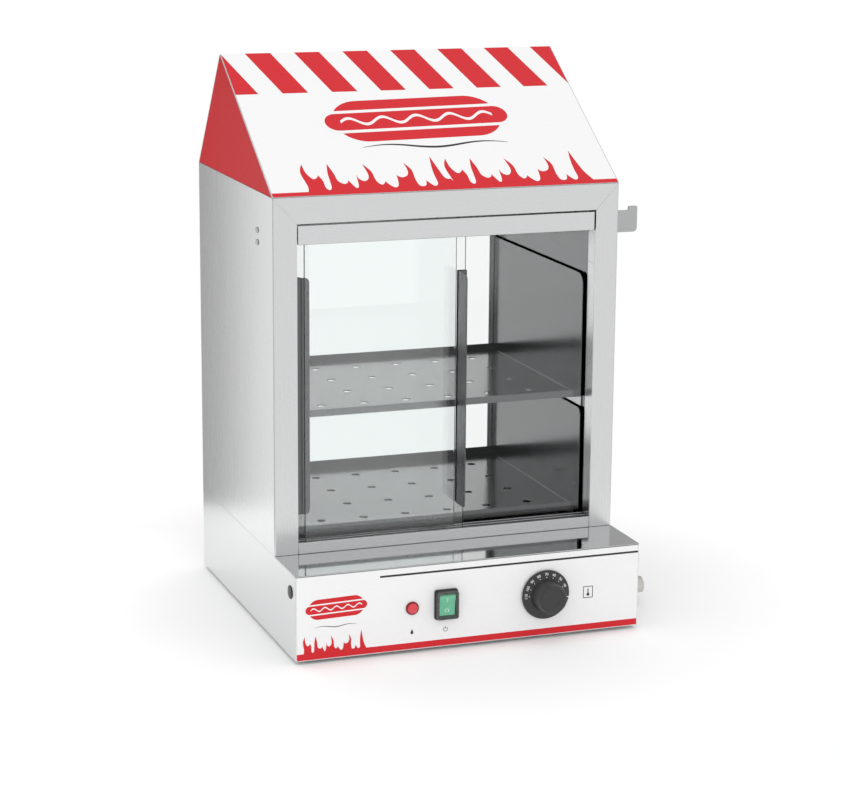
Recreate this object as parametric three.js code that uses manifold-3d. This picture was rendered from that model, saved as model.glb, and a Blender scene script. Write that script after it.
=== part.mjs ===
// Counter-top hot dog steamer: a heated water bath in the base, a steam chamber with two lift-out
// trays behind two sliding glass doors, and a roof-shaped hood. Millimetres, +Z up, front towards -Y.
import * as THREE from 'three';
import { mergeVertices } from 'three/addons/utils/BufferGeometryUtils.js';
import Module from 'manifold-3d';

const wasm = await Module();
wasm.setup();

// Driving dimensions. x runs from the cabinet's left side, y from its front face, z from the table.
const WIDTH = 400;
const DEPTH = 304;
const FOOT_HEIGHT = 4;
const FOOT_RADIUS = 12;
const FOOT_INSET = 34;
const BASE_TOP = 99.4;
const BASE_REACH = 78;
const CABINET_TOP = 493;
const RIDGE_Y = 205.6;
const RIDGE_HEIGHT = 133.7;
const STILE = 27;
const OPENING_TOP = 464;
const HEADER_BOTTOM = 442;
const SILL_TOP = 112;
const SHEET = 1.2;
const GAP = 0.3;

// Sliding doors: glass panes in two parallel grooves, front groove for the right-hand door.
const GLASS = 4;
const FRONT_PANE_Y = 5;
const REAR_PANE_Y = 14;
const PANE_WIDTH = 184.4;
const PANE_BOTTOM = 102.8;
const PANE_TOP = 451.5;
const LEFT_PANE_X = 29;
const RIGHT_PANE_X = 36.8;
const GRIP_BOTTOM = 141;
const GRIP_TOP = 404;
const LEFT_GRIP_WIDTH = 16.5;
const WING_WIDTH = 10.5;
const WING_REACH = 25;
const PANE_PLAY = 1;
const TRACK_DEPTH = 21;
const UPPER_WEB_THICKNESS = 1.7;
const LOWER_WEB_THICKNESS = 2.6;

// Rear window, chamber and water bath.
const WINDOW_INSET = 34;
const WINDOW_BOTTOM = 106;
const WINDOW_TOP = 391;
const GLASS_LAP = 5;
const STRIP_WIDTH = 10;
const JAMB_BACK = 20;
const LINER_X = 25;
const LINER_Y = 22;
const TRAY_X = 29;
const TRAY_FRONT = 26;
const TRAY_BACK = 296;
const TRAY_FLOOR = 114;
const TRAY_WALL_TOP = 233;
const STEAM_HOLE_RADIUS = 5;
const STEAM_HOLE_STEPS = [50, 60];
const RAIL_FRONT = 30;
const RAIL_BACK = 290;
const RAIL_WIDTH = 14;
const RAIL_FLANGE = 12;
const PLATE_INSET = 34;
const BUN_FLOOR = 247;
const BUN_WALL_TOP = 388;
const TANK_X = 38;
const TANK_FRONT = 4;
const TANK_BACK = 292;
const TANK_FLOOR = 9;
const TANK_RIM = 98.2;

// Controls on the front panel.
const PANEL_Y = -BASE_REACH;
const KNOB_X = 287;
const KNOB_Z = 52;
const KNOB_RADIUS = 28;
const KNOB_LENGTH = 26;
const KNOB_GAP = 1.5;
const LAMP_X = 131.5;
const LAMP_Z = 51.5;
const SWITCH_X = 170.4;
const SWITCH_Z = 52.5;
const ROCKER_TILT = THREE.MathUtils.degToRad(8);

// Fittings.
const DRAIN_Y = 14;
const DRAIN_Z = 20;
const DRAIN_REACH = 46.5;
const DRAIN_LEVER_X = WIDTH + 16;
const HOOK_Y = 49;
const HOOK_BOTTOM = 429;
const HOOK_REACH = 45.6;
const HOOK_HEIGHT = 25.2;
const HOOK_SHEET = 2;
const SCREW_Y = 58;
const SCREW_HEIGHTS = [437.4, 450.7];
const SCREW_HEAD = 1.6;
const SCREW_HEAD_RADIUS = 3.4;
const PLUG_Y = -58.8;
const PLUG_Z = 77;
const GLAND_X = 60;
const GLAND_Z = 42;
const GLAND_REACH = 18;
const ELEMENT_Z = 34;
const ELEMENT_LEGS = [150, 230];
const BULB_X = 310;
const BULB_Z = 60;
const FLOAT_X = 80;
const FLOAT_Y = 60;

// The origin is the middle of the whole part's box, at the table.
const X_MIDDLE = (WIDTH + DRAIN_REACH - SCREW_HEAD - GAP) / 2;
const Y_MIDDLE = (DEPTH + GLAND_REACH - BASE_REACH - KNOB_GAP - KNOB_LENGTH) / 2;

const finishes = {
  satinSteel: { color: 0xc4c6c8, roughness: 0.42, metalness: 0.9 },
  polishedSteel: { color: 0xd0d2d4, roughness: 0.12, metalness: 1 },
  darkSteel: { color: 0x6a6c6e, roughness: 0.3, metalness: 0.9 },
  whitePaint: { color: 0xf3f3f3, roughness: 0.3, metalness: 0 },
  redPaint: { color: 0xc4393d, roughness: 0.35, metalness: 0 },
  glass: { color: 0xe8f1f0, roughness: 0.03, metalness: 0, transparent: true, opacity: 0.3 },
  blackPlastic: { color: 0x2b2b2c, roughness: 0.4, metalness: 0 },
  greenPlastic: { color: 0x5fc79a, roughness: 0.25, metalness: 0 },
  redPlastic: { color: 0xd23f4a, roughness: 0.2, metalness: 0 },
  whitePlastic: { color: 0xe6e6e2, roughness: 0.5, metalness: 0 },
  rubber: { color: 0x1d1d1e, roughness: 0.8, metalness: 0 },
  brass: { color: 0xb59a5a, roughness: 0.3, metalness: 1 },
};

// Solid geometry helpers.
function box(x0, x1, y0, y1, z0, z1) {
  const shape = new THREE.BoxGeometry(x1 - x0, y1 - y0, z1 - z0);
  return shape.translate((x0 + x1) / 2, (y0 + y1) / 2, (z0 + z1) / 2);
}

function extrude(shape, depth, curveSegments = 6) {
  return new THREE.ExtrudeGeometry(shape, { depth, bevelEnabled: false, curveSegments });
}

function polygon(points) {
  return new THREE.Shape(points.map(([a, b]) => new THREE.Vector2(a, b)));
}

// An outline in (y, z), pushed along x.
function alongX(shape, x0, x1) {
  const turn = new THREE.Matrix4().set(0, 0, 1, x0, 1, 0, 0, 0, 0, 1, 0, 0, 0, 0, 0, 1);
  return extrude(shape, x1 - x0).applyMatrix4(turn);
}

// An outline in (x, z), pushed along y.
function alongY(shape, y0, y1, curveSegments) {
  return extrude(shape, y1 - y0, curveSegments).rotateX(Math.PI / 2).translate(0, y1, 0);
}

// A rectangle whose four corners have their own radii: lower left, lower right, upper right, upper left.
function roundedRectangle(a0, a1, b0, b1, [lowLeft, lowRight, upRight, upLeft]) {
  const quarter = Math.PI / 2;
  const shape = new THREE.Shape();
  shape.moveTo(a0 + lowLeft, b0);
  shape.lineTo(a1 - lowRight, b0);
  if (lowRight > 0) shape.absarc(a1 - lowRight, b0 + lowRight, lowRight, -quarter, 0, false);
  shape.lineTo(a1, b1 - upRight);
  if (upRight > 0) shape.absarc(a1 - upRight, b1 - upRight, upRight, 0, quarter, false);
  shape.lineTo(a0 + upLeft, b1);
  if (upLeft > 0) shape.absarc(a0 + upLeft, b1 - upLeft, upLeft, quarter, 2 * quarter, false);
  shape.lineTo(a0, b0 + lowLeft);
  if (lowLeft > 0) shape.absarc(a0 + lowLeft, b0 + lowLeft, lowLeft, 2 * quarter, 3 * quarter, false);
  return shape;
}

function rodX(radius, x0, x1, y, z, sides = 20) {
  const rod = new THREE.CylinderGeometry(radius, radius, x1 - x0, sides);
  return rod.rotateZ(Math.PI / 2).translate((x0 + x1) / 2, y, z);
}

function rodY(radius, y0, y1, x, z, sides = 20) {
  return new THREE.CylinderGeometry(radius, radius, y1 - y0, sides).translate(x, (y0 + y1) / 2, z);
}

function rodZ(radius, z0, z1, x, y, sides = 20) {
  const rod = new THREE.CylinderGeometry(radius, radius, z1 - z0, sides);
  return rod.rotateX(Math.PI / 2).translate(x, y, (z0 + z1) / 2);
}

// A profile of [radius, height] points turned about an axis; height runs along +y.
function turned(profile, sides = 28) {
  return new THREE.LatheGeometry(profile.map(([r, h]) => new THREE.Vector2(r, h)), sides);
}

function tube(radius, points, sides, steps) {
  const section = new THREE.Shape();
  section.absarc(0, 0, radius, 0, 2 * Math.PI, false);
  const route = new THREE.CatmullRomCurve3(points.map((point) => new THREE.Vector3(...point)));
  const options = { steps, extrudePath: route, curveSegments: sides / 2, bevelEnabled: false };
  return new THREE.ExtrudeGeometry(section, options);
}

function solid(geometry) {
  const bare = geometry.clone();
  bare.deleteAttribute('normal');
  bare.deleteAttribute('uv');
  const merged = mergeVertices(bare, 1e-4);
  return new wasm.Manifold(new wasm.Mesh({
    numProp: 3,
    vertProperties: new Float32Array(merged.attributes.position.array),
    triVerts: new Uint32Array(merged.index.array),
  }));
}

function geometryOf(manifold) {
  const mesh = manifold.getMesh();
  const geometry = new THREE.BufferGeometry();
  geometry.setAttribute('position', new THREE.BufferAttribute(mesh.vertProperties, 3));
  geometry.setIndex(new THREE.BufferAttribute(mesh.triVerts, 1));
  return geometry;
}

function join(...pieces) {
  return geometryOf(pieces.map(solid).reduce((whole, piece) => whole.add(piece)));
}

function cut(body, ...tools) {
  return geometryOf(tools.map(solid).reduce((left, tool) => left.subtract(tool), solid(body)));
}

const steamer = new THREE.Group();
steamer.position.set(-X_MIDDLE, -Y_MIDDLE, 0);

function add(name, geometry, finish) {
  const mesh = new THREE.Mesh(geometry, new THREE.MeshStandardMaterial(finishes[finish]));
  mesh.name = name;
  steamer.add(mesh);
}

// Base: a folded sheet box that stands on four rubber feet and holds the tank and the electrics.
function addBase() {
  const floor = FOOT_HEIGHT;
  const inner = WIDTH - SHEET - GAP;
  const front = PANEL_Y + SHEET + GAP;
  add('base_bottom_plate', box(SHEET + GAP, inner, front, DEPTH - SHEET - GAP, floor, floor + SHEET),
    'satinSteel');
  const underLedge = BASE_TOP - SHEET - GAP;
  const side = polygon([[front, floor], [DEPTH, floor], [DEPTH, BASE_TOP], [0, BASE_TOP],
    [0, underLedge], [front, underLedge]]);
  add('base_side_left', cut(alongX(side, 0, SHEET), rodX(6, -1, 3, PLUG_Y, PLUG_Z)), 'satinSteel');
  add('base_side_right', cut(alongX(side, WIDTH - SHEET, WIDTH),
    rodX(9, WIDTH - 3, WIDTH + 1, DRAIN_Y, DRAIN_Z)), 'satinSteel');
  const back = box(SHEET + GAP, inner, DEPTH - SHEET, DEPTH, floor, BASE_TOP);
  add('base_back_panel', cut(back, rodY(8.4, DEPTH - 3, DEPTH + 1, GLAND_X, GLAND_Z)), 'satinSteel');
  const panel = box(0, WIDTH, PANEL_Y, PANEL_Y + SHEET, floor, underLedge);
  add('base_front_panel', cut(panel,
    rodY(5.2, PANEL_Y - 1, PANEL_Y + 3, KNOB_X, KNOB_Z),
    rodY(5.2, PANEL_Y - 1, PANEL_Y + 3, LAMP_X, LAMP_Z),
    box(SWITCH_X - 11.2, SWITCH_X + 11.2, PANEL_Y - 1, PANEL_Y + 3, SWITCH_Z - 15, SWITCH_Z + 15)),
  'whitePaint');
  add('front_ledge', box(0, WIDTH, PANEL_Y, -GAP, BASE_TOP - SHEET, BASE_TOP), 'polishedSteel');
  const corners = [[FOOT_INSET, front + FOOT_INSET], [WIDTH - FOOT_INSET, front + FOOT_INSET],
    [FOOT_INSET, DEPTH - FOOT_INSET], [WIDTH - FOOT_INSET, DEPTH - FOOT_INSET]];
  corners.forEach(([x, y], index) => {
    add(`foot_${index + 1}`, rodZ(FOOT_RADIUS, 0, FOOT_HEIGHT - GAP, x, y, 24), 'rubber');
  });
}

// Cabinet: outer sides, inner liner, front and rear frames and the ceiling.
function addCabinet() {
  const bottom = BASE_TOP + GAP;
  const back = DEPTH - SHEET;
  const screwHoles = (x) => SCREW_HEIGHTS.map((z) => rodX(2.2, x - 2, x + 3, SCREW_Y, z, 12));
  const leftSide = box(0, SHEET, SHEET + GAP, DEPTH, bottom, CABINET_TOP);
  add('cabinet_side_left', cut(leftSide, ...screwHoles(0)), 'satinSteel');
  const rightSide = box(WIDTH - SHEET, WIDTH, SHEET + GAP, DEPTH, bottom, CABINET_TOP);
  add('cabinet_side_right', cut(rightSide, ...screwHoles(WIDTH - SHEET)), 'satinSteel');
  const ceiling = CABINET_TOP - SHEET;
  add('liner_left', box(LINER_X, LINER_X + SHEET, LINER_Y, back - GAP, bottom, ceiling - GAP),
    'polishedSteel');
  add('liner_right', box(WIDTH - LINER_X - SHEET, WIDTH - LINER_X, LINER_Y, back - GAP, bottom,
    ceiling - GAP), 'polishedSteel');
  const frame = polygon([[0, bottom], [STILE, bottom], [STILE, OPENING_TOP],
    [WIDTH - STILE, OPENING_TOP], [WIDTH - STILE, bottom], [WIDTH, bottom],
    [WIDTH, CABINET_TOP], [0, CABINET_TOP]]);
  add('front_frame', alongY(frame, 0, SHEET), 'satinSteel');
  const inner = SHEET + GAP;
  const rear = box(inner, WIDTH - inner, back, DEPTH, bottom, CABINET_TOP);
  const window = box(WINDOW_INSET, WIDTH - WINDOW_INSET, back - 2, DEPTH + 2, WINDOW_BOTTOM, WINDOW_TOP);
  add('rear_frame', cut(rear, window), 'satinSteel');
  add('ceiling_plate', box(inner, WIDTH - inner, inner, back - GAP, ceiling, CABINET_TOP), 'satinSteel');
  const jamb = (x) => box(x, x + SHEET, inner, JAMB_BACK, SILL_TOP + GAP, GRIP_TOP);
  add('jamb_strip_left', jamb(STILE - SHEET), 'satinSteel');
  add('jamb_strip_right', jamb(WIDTH - STILE), 'satinSteel');
  const pane = back - GAP - GLASS;
  const paneTop = WINDOW_TOP + GLASS_LAP;
  const paneLeft = LINER_X + SHEET + 1;
  add('rear_glass', box(paneLeft, WIDTH - paneLeft, pane, back - GAP, bottom, paneTop), 'glass');
  const strip = (x) => box(x, x + STRIP_WIDTH, pane - GAP - SHEET, pane - GAP, bottom, paneTop);
  const stripLeft = LINER_X + SHEET + GAP;
  add('rear_glass_strip_left', strip(stripLeft), 'satinSteel');
  add('rear_glass_strip_right', strip(WIDTH - stripLeft - STRIP_WIDTH), 'satinSteel');
}

// Hood: a gable of two sloping sheets over two end plates, its ridge nearer to the back.
function addHood() {
  const eave = CABINET_TOP + GAP;
  const frontRun = RIDGE_Y;
  const backRun = DEPTH - RIDGE_Y;
  const frontSlope = RIDGE_HEIGHT / frontRun;
  const backSlope = RIDGE_HEIGHT / backRun;
  // The gable's outline, moved in by a distance measured square to both slopes.
  const gable = (inset) => {
    const start = inset * Math.hypot(frontRun, RIDGE_HEIGHT) / RIDGE_HEIGHT;
    const end = DEPTH - inset * Math.hypot(backRun, RIDGE_HEIGHT) / RIDGE_HEIGHT;
    const height = (end - start) / (1 / frontSlope + 1 / backSlope);
    return { start: [start, eave], ridge: [start + height / frontSlope, eave + height], end: [end, eave] };
  };
  const outer = gable(0);
  const inner = gable(SHEET);
  const frontPlate = polygon([outer.start, inner.start, inner.ridge, outer.ridge]);
  add('hood_front_panel', alongX(frontPlate, 0, WIDTH), 'whitePaint');
  const down = ([y, z]) => [y + GAP, z - GAP * backSlope];
  const backPlate = polygon([down(outer.ridge), down(inner.ridge), inner.end, outer.end]);
  add('hood_rear_panel', alongX(backPlate, 0, WIDTH), 'whitePaint');
  const end = gable(SHEET + GAP);
  const endPlate = polygon([end.start, end.end, end.ridge]);
  add('hood_end_left', alongX(endPlate, 0, SHEET), 'redPaint');
  add('hood_end_right', alongX(endPlate, WIDTH - SHEET, WIDTH), 'redPaint');
}

// Door tracks: two grooves with a wall between them, one set below and a deeper set above. The outline
// goes in (y, z) from the web, which closes the grooves at grooveEnd, to the open lip.
function trackOutline(front, web, grooveEnd, lip) {
  const frontGroove = [FRONT_PANE_Y - PANE_PLAY, FRONT_PANE_Y + GLASS + PANE_PLAY];
  const rearGroove = [REAR_PANE_Y - PANE_PLAY, REAR_PANE_Y + GLASS + PANE_PLAY];
  const grooves = [frontGroove, rearGroove].flatMap(([near, far]) =>
    [[near, lip], [near, grooveEnd], [far, grooveEnd], [far, lip]]);
  return polygon([[front, web], [front, lip], ...grooves, [TRACK_DEPTH, lip], [TRACK_DEPTH, web]]);
}

function addTracks() {
  const upperWeb = OPENING_TOP - GAP;
  const upper = trackOutline(SHEET + GAP, upperWeb, upperWeb - UPPER_WEB_THICKNESS, HEADER_BOTTOM);
  add('upper_door_track', alongX(upper, STILE + SHEET + GAP, WIDTH - STILE - SHEET - GAP), 'satinSteel');
  const lowerWeb = BASE_TOP + GAP;
  const lower = trackOutline(0, lowerWeb, lowerWeb + LOWER_WEB_THICKNESS, SILL_TOP);
  add('lower_door_track', alongX(lower, STILE + GAP, WIDTH - STILE - GAP), 'satinSteel');
}

// Doors: each is a glass pane with a folded sheet grip round its outer edge. The left door's grip lies
// flat between the two panes, so the doors pass; the right door's grip has a finger wing at the front.
function addDoors() {
  const pane = (x, y) => box(x, x + PANE_WIDTH, y, y + GLASS, PANE_BOTTOM, PANE_TOP);
  add('left_door_glass', pane(LEFT_PANE_X, REAR_PANE_Y), 'glass');
  add('right_door_glass', pane(RIGHT_PANE_X, FRONT_PANE_Y), 'glass');

  const leftWeb = LEFT_PANE_X - GAP - SHEET;
  const leftFront = REAR_PANE_Y - GAP - SHEET;
  const leftBack = REAR_PANE_Y + GLASS + GAP + SHEET;
  const leg = (width) => roundedRectangle(leftWeb, leftWeb + width, GRIP_BOTTOM, GRIP_TOP, [0, 5, 5, 0]);
  add('left_door_grip', join(
    alongY(leg(LEFT_GRIP_WIDTH), leftFront, leftFront + SHEET),
    box(leftWeb, leftWeb + SHEET, leftFront, leftBack, GRIP_BOTTOM, GRIP_TOP),
    alongY(leg(LEFT_GRIP_WIDTH - 5.5), leftBack - SHEET, leftBack)), 'satinSteel');

  const edge = RIGHT_PANE_X + PANE_WIDTH + GAP;
  const rightFront = FRONT_PANE_Y - GAP - SHEET;
  const rightBack = FRONT_PANE_Y + GLASS + GAP + SHEET;
  const wingX = edge + SHEET - WING_WIDTH;
  const wing = roundedRectangle(rightFront - WING_REACH, rightFront + SHEET, GRIP_BOTTOM, GRIP_TOP,
    [7, 0, 0, 7]);
  add('right_door_grip', join(
    alongX(wing, wingX, wingX + SHEET),
    box(wingX, edge + SHEET, rightFront, rightFront + SHEET, GRIP_BOTTOM, GRIP_TOP),
    box(edge, edge + SHEET, rightFront, rightBack, GRIP_BOTTOM, GRIP_TOP),
    box(wingX, edge + SHEET, rightBack - SHEET, rightBack, GRIP_BOTTOM, GRIP_TOP)), 'satinSteel');
}

// A lift-out tray: a perforated floor between two tall side walls, with a low lip at front and back.
function tray(floor, wallTop, lip, cornerRadius) {
  const right = WIDTH - TRAY_X;
  const wall = roundedRectangle(TRAY_FRONT, TRAY_BACK, floor, wallTop, [0, 0, 0, cornerRadius]);
  const shell = join(
    box(TRAY_X, right, TRAY_FRONT, TRAY_BACK, floor, floor + SHEET),
    alongX(wall, TRAY_X, TRAY_X + SHEET),
    alongX(wall, right - SHEET, right),
    box(TRAY_X, right, TRAY_FRONT, TRAY_FRONT + SHEET, floor, floor + lip),
    box(TRAY_X, right, TRAY_BACK - SHEET, TRAY_BACK, floor, floor + lip));
  const [columnStep, rowStep] = STEAM_HOLE_STEPS;
  const holes = [];
  for (let column = 0; column < 6; column += 1) {
    for (let row = 0; row < 4; row += 1) {
      const x = TRAY_X + 46 + column * columnStep;
      const y = TRAY_FRONT + 45 + row * rowStep;
      holes.push(rodZ(STEAM_HOLE_RADIUS, floor - 1, floor + 3, x, y, 10));
    }
  }
  return cut(shell, ...holes);
}

function addChamber() {
  add('sausage_tray', tray(TRAY_FLOOR, TRAY_WALL_TOP, 10, 8), 'polishedSteel');
  add('bun_box', tray(BUN_FLOOR, BUN_WALL_TOP, 8, 12), 'polishedSteel');
  const railTop = BUN_FLOOR - GAP;
  const leftRail = LINER_X + SHEET + GAP;
  const rail = (x0, x1, flange0, flange1) => join(
    box(x0, x1, RAIL_FRONT, RAIL_BACK, railTop - SHEET, railTop),
    box(flange0, flange1, RAIL_FRONT, RAIL_BACK, railTop - RAIL_FLANGE, railTop));
  add('bun_rail_left', rail(leftRail, leftRail + RAIL_WIDTH, leftRail, leftRail + SHEET), 'satinSteel');
  const rightRail = WIDTH - leftRail;
  add('bun_rail_right', rail(rightRail - RAIL_WIDTH, rightRail, rightRail - SHEET, rightRail),
    'satinSteel');

  // The steam plate is a shallow cover over the tank, its legs on the tank's rim.
  const top = TRAY_FLOOR - GAP;
  const bottom = BASE_TOP + GAP;
  const plateRight = WIDTH - PLATE_INSET;
  const plate = join(
    box(PLATE_INSET, plateRight, RAIL_FRONT, RAIL_BACK, top - SHEET, top),
    box(PLATE_INSET, PLATE_INSET + SHEET, RAIL_FRONT, RAIL_BACK, bottom, top),
    box(plateRight - SHEET, plateRight, RAIL_FRONT, RAIL_BACK, bottom, top));
  const slots = [];
  for (let column = 0; column < 5; column += 1) {
    const x = 70 + column * 60;
    slots.push(box(x, x + 20, 60, 120, top - 3, top + 1), box(x, x + 20, 200, 260, top - 3, top + 1));
  }
  add('steam_plate', cut(plate, ...slots), 'satinSteel');
}

// Water tank with its heater, temperature probe and low-water float.
function addTank() {
  const right = WIDTH - TANK_X;
  const rim = box(TRAY_X - 1, WIDTH - TRAY_X + 1, SHEET, DEPTH - 4, TANK_RIM, TANK_RIM + SHEET);
  const shell = join(box(TANK_X, right, TANK_FRONT, TANK_BACK, TANK_FLOOR, TANK_RIM + SHEET), rim);
  const hollow = box(TANK_X + SHEET, right - SHEET, TANK_FRONT + SHEET, TANK_BACK - SHEET,
    TANK_FLOOR + SHEET, TANK_RIM + 4);
  add('water_tank', cut(shell, hollow,
    rodX(7.4, right - 4, right + 2, DRAIN_Y, DRAIN_Z),
    ...ELEMENT_LEGS.map((x) => rodY(4.6, TANK_FRONT - 2, TANK_FRONT + 4, x, ELEMENT_Z, 16)),
    rodY(2.4, TANK_FRONT - 2, TANK_FRONT + 4, BULB_X, BULB_Z, 12)), 'satinSteel');

  const [legA, legB] = ELEMENT_LEGS;
  const middle = (legA + legB) / 2;
  const bend = (legB - legA) / 2;
  const route = [[legA, -22, ELEMENT_Z], [legA, 40, ELEMENT_Z], [legA, 120, ELEMENT_Z],
    [legA, 200, ELEMENT_Z]];
  for (let step = 1; step < 6; step += 1) {
    const angle = Math.PI - step * Math.PI / 6;
    route.push([middle + bend * Math.cos(angle), 200 + bend * Math.sin(angle), ELEMENT_Z]);
  }
  route.push([legB, 200, ELEMENT_Z], [legB, 120, ELEMENT_Z], [legB, 40, ELEMENT_Z],
    [legB, -22, ELEMENT_Z]);
  add('heating_element', tube(4, route, 10, 44), 'darkSteel');

  const bulbRoute = [[300, PANEL_Y + 38, 50], [302, -25, 52], [BULB_X, -8, 58], [BULB_X, 2, BULB_Z],
    [BULB_X, 14, BULB_Z], [BULB_X, 44, BULB_Z]];
  add('thermostat_bulb', join(tube(1.6, bulbRoute, 8, 24), rodY(4.5, 40, 130, BULB_X, BULB_Z, 16)),
    'brass');

  const stemBottom = TANK_FLOOR + SHEET + GAP;
  add('level_sensor_stem', join(rodZ(14, stemBottom, stemBottom + 3, FLOAT_X, FLOAT_Y),
    rodZ(4, stemBottom, 74, FLOAT_X, FLOAT_Y, 16), rodZ(7, 70, 74, FLOAT_X, FLOAT_Y)), 'whitePlastic');
  const ring = [[4.6, 0], [13, 0], [14, 2], [14, 18], [13, 20], [4.6, 20], [4.6, 0]];
  add('level_float', turned(ring, 20).rotateX(Math.PI / 2).translate(FLOAT_X, FLOAT_Y, 26),
    'whitePlastic');
}

// Electrical parts on and behind the front panel.
function addControls() {
  const inside = PANEL_Y + SHEET + GAP;
  add('thermostat_body', join(box(KNOB_X - 18, KNOB_X + 18, inside, inside + 36, KNOB_Z - 18, KNOB_Z + 18),
    rodY(3, PANEL_Y - 14, inside + 2, KNOB_X, KNOB_Z, 16)), 'whitePlastic');
  // The knob is a wide dial skirt with a tall hub, on the thermostat's spindle.
  const knob = [[0, 16], [3.3, 16], [3.3, 0], [KNOB_RADIUS - 1, 0], [KNOB_RADIUS, 1.2],
    [KNOB_RADIUS - 0.4, 2.4], [18.5, 4.6], [17.6, KNOB_LENGTH - 1.6], [16.2, KNOB_LENGTH],
    [0, KNOB_LENGTH]];
  add('thermostat_knob', turned(knob, 40).rotateX(Math.PI)
    .translate(KNOB_X, PANEL_Y - KNOB_GAP, KNOB_Z), 'blackPlastic');

  const bezel = [[6.3, 0], [7.4, 0], [7.4, 1.6], [6.9, 2.4], [6.3, 2.4], [6.3, 0]];
  add('indicator_bezel', turned(bezel, 24).rotateX(Math.PI)
    .translate(LAMP_X, PANEL_Y - GAP, LAMP_Z), 'redPlastic');
  const lens = [[0, -16], [4.8, -16], [4.8, 0.4], [6, 0.4], [6, 2.4], [4.6, 4], [2.4, 4.8], [0, 5]];
  add('indicator_lens', turned(lens, 24).rotateX(Math.PI)
    .translate(LAMP_X, PANEL_Y - GAP, LAMP_Z), 'redPlastic');

  // Rocker switch: a housing with a raised collar, the rocker, and a clear splash cover on the collar.
  const face = PANEL_Y - GAP;
  const flange = roundedRectangle(SWITCH_X - 13.5, SWITCH_X + 13.5, SWITCH_Z - 17, SWITCH_Z + 17,
    [3, 3, 3, 3]);
  const collar = roundedRectangle(SWITCH_X - 12.5, SWITCH_X + 12.5, SWITCH_Z - 15.8, SWITCH_Z + 15.8,
    [2.5, 2.5, 2.5, 2.5]);
  const well = box(SWITCH_X - 10, SWITCH_X + 10, face - 12, face + 9, SWITCH_Z - 13.2, SWITCH_Z + 13.2);
  add('switch_housing', cut(join(
    alongY(flange, face - 2.4, face, 3),
    alongY(collar, face - 7.5, face - 1, 3),
    box(SWITCH_X - 10.9, SWITCH_X + 10.9, face - 1, face + 22, SWITCH_Z - 14.6, SWITCH_Z + 14.6)), well),
  'blackPlastic');
  const rockerOutline = polygon([[-4.8, -11.5], [-3.9, 0], [-4.8, 11.5], [2, 11.8], [7, 3], [7, -3],
    [2, -11.8]]);
  add('switch_rocker', alongX(rockerOutline, -9.4, 9.4).rotateX(ROCKER_TILT)
    .translate(SWITCH_X, face, SWITCH_Z), 'greenPlastic');
  const cover = roundedRectangle(SWITCH_X - 12.3, SWITCH_X + 12.3, SWITCH_Z - 15.6, SWITCH_Z + 15.6,
    [2.4, 2.4, 2.4, 2.4]);
  add('switch_cover', alongY(cover, face - 9.3, face - 7.8, 3), 'glass');

  add('safety_cutout', join(box(214, 246, inside + 20, inside + 40, 8, 30),
    rodZ(5, 28, 36, 230, inside + 30, 16)), 'blackPlastic');
  add('terminal_block', box(50, 110, -40, -22, 8, 24), 'whitePlastic');
}

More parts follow.
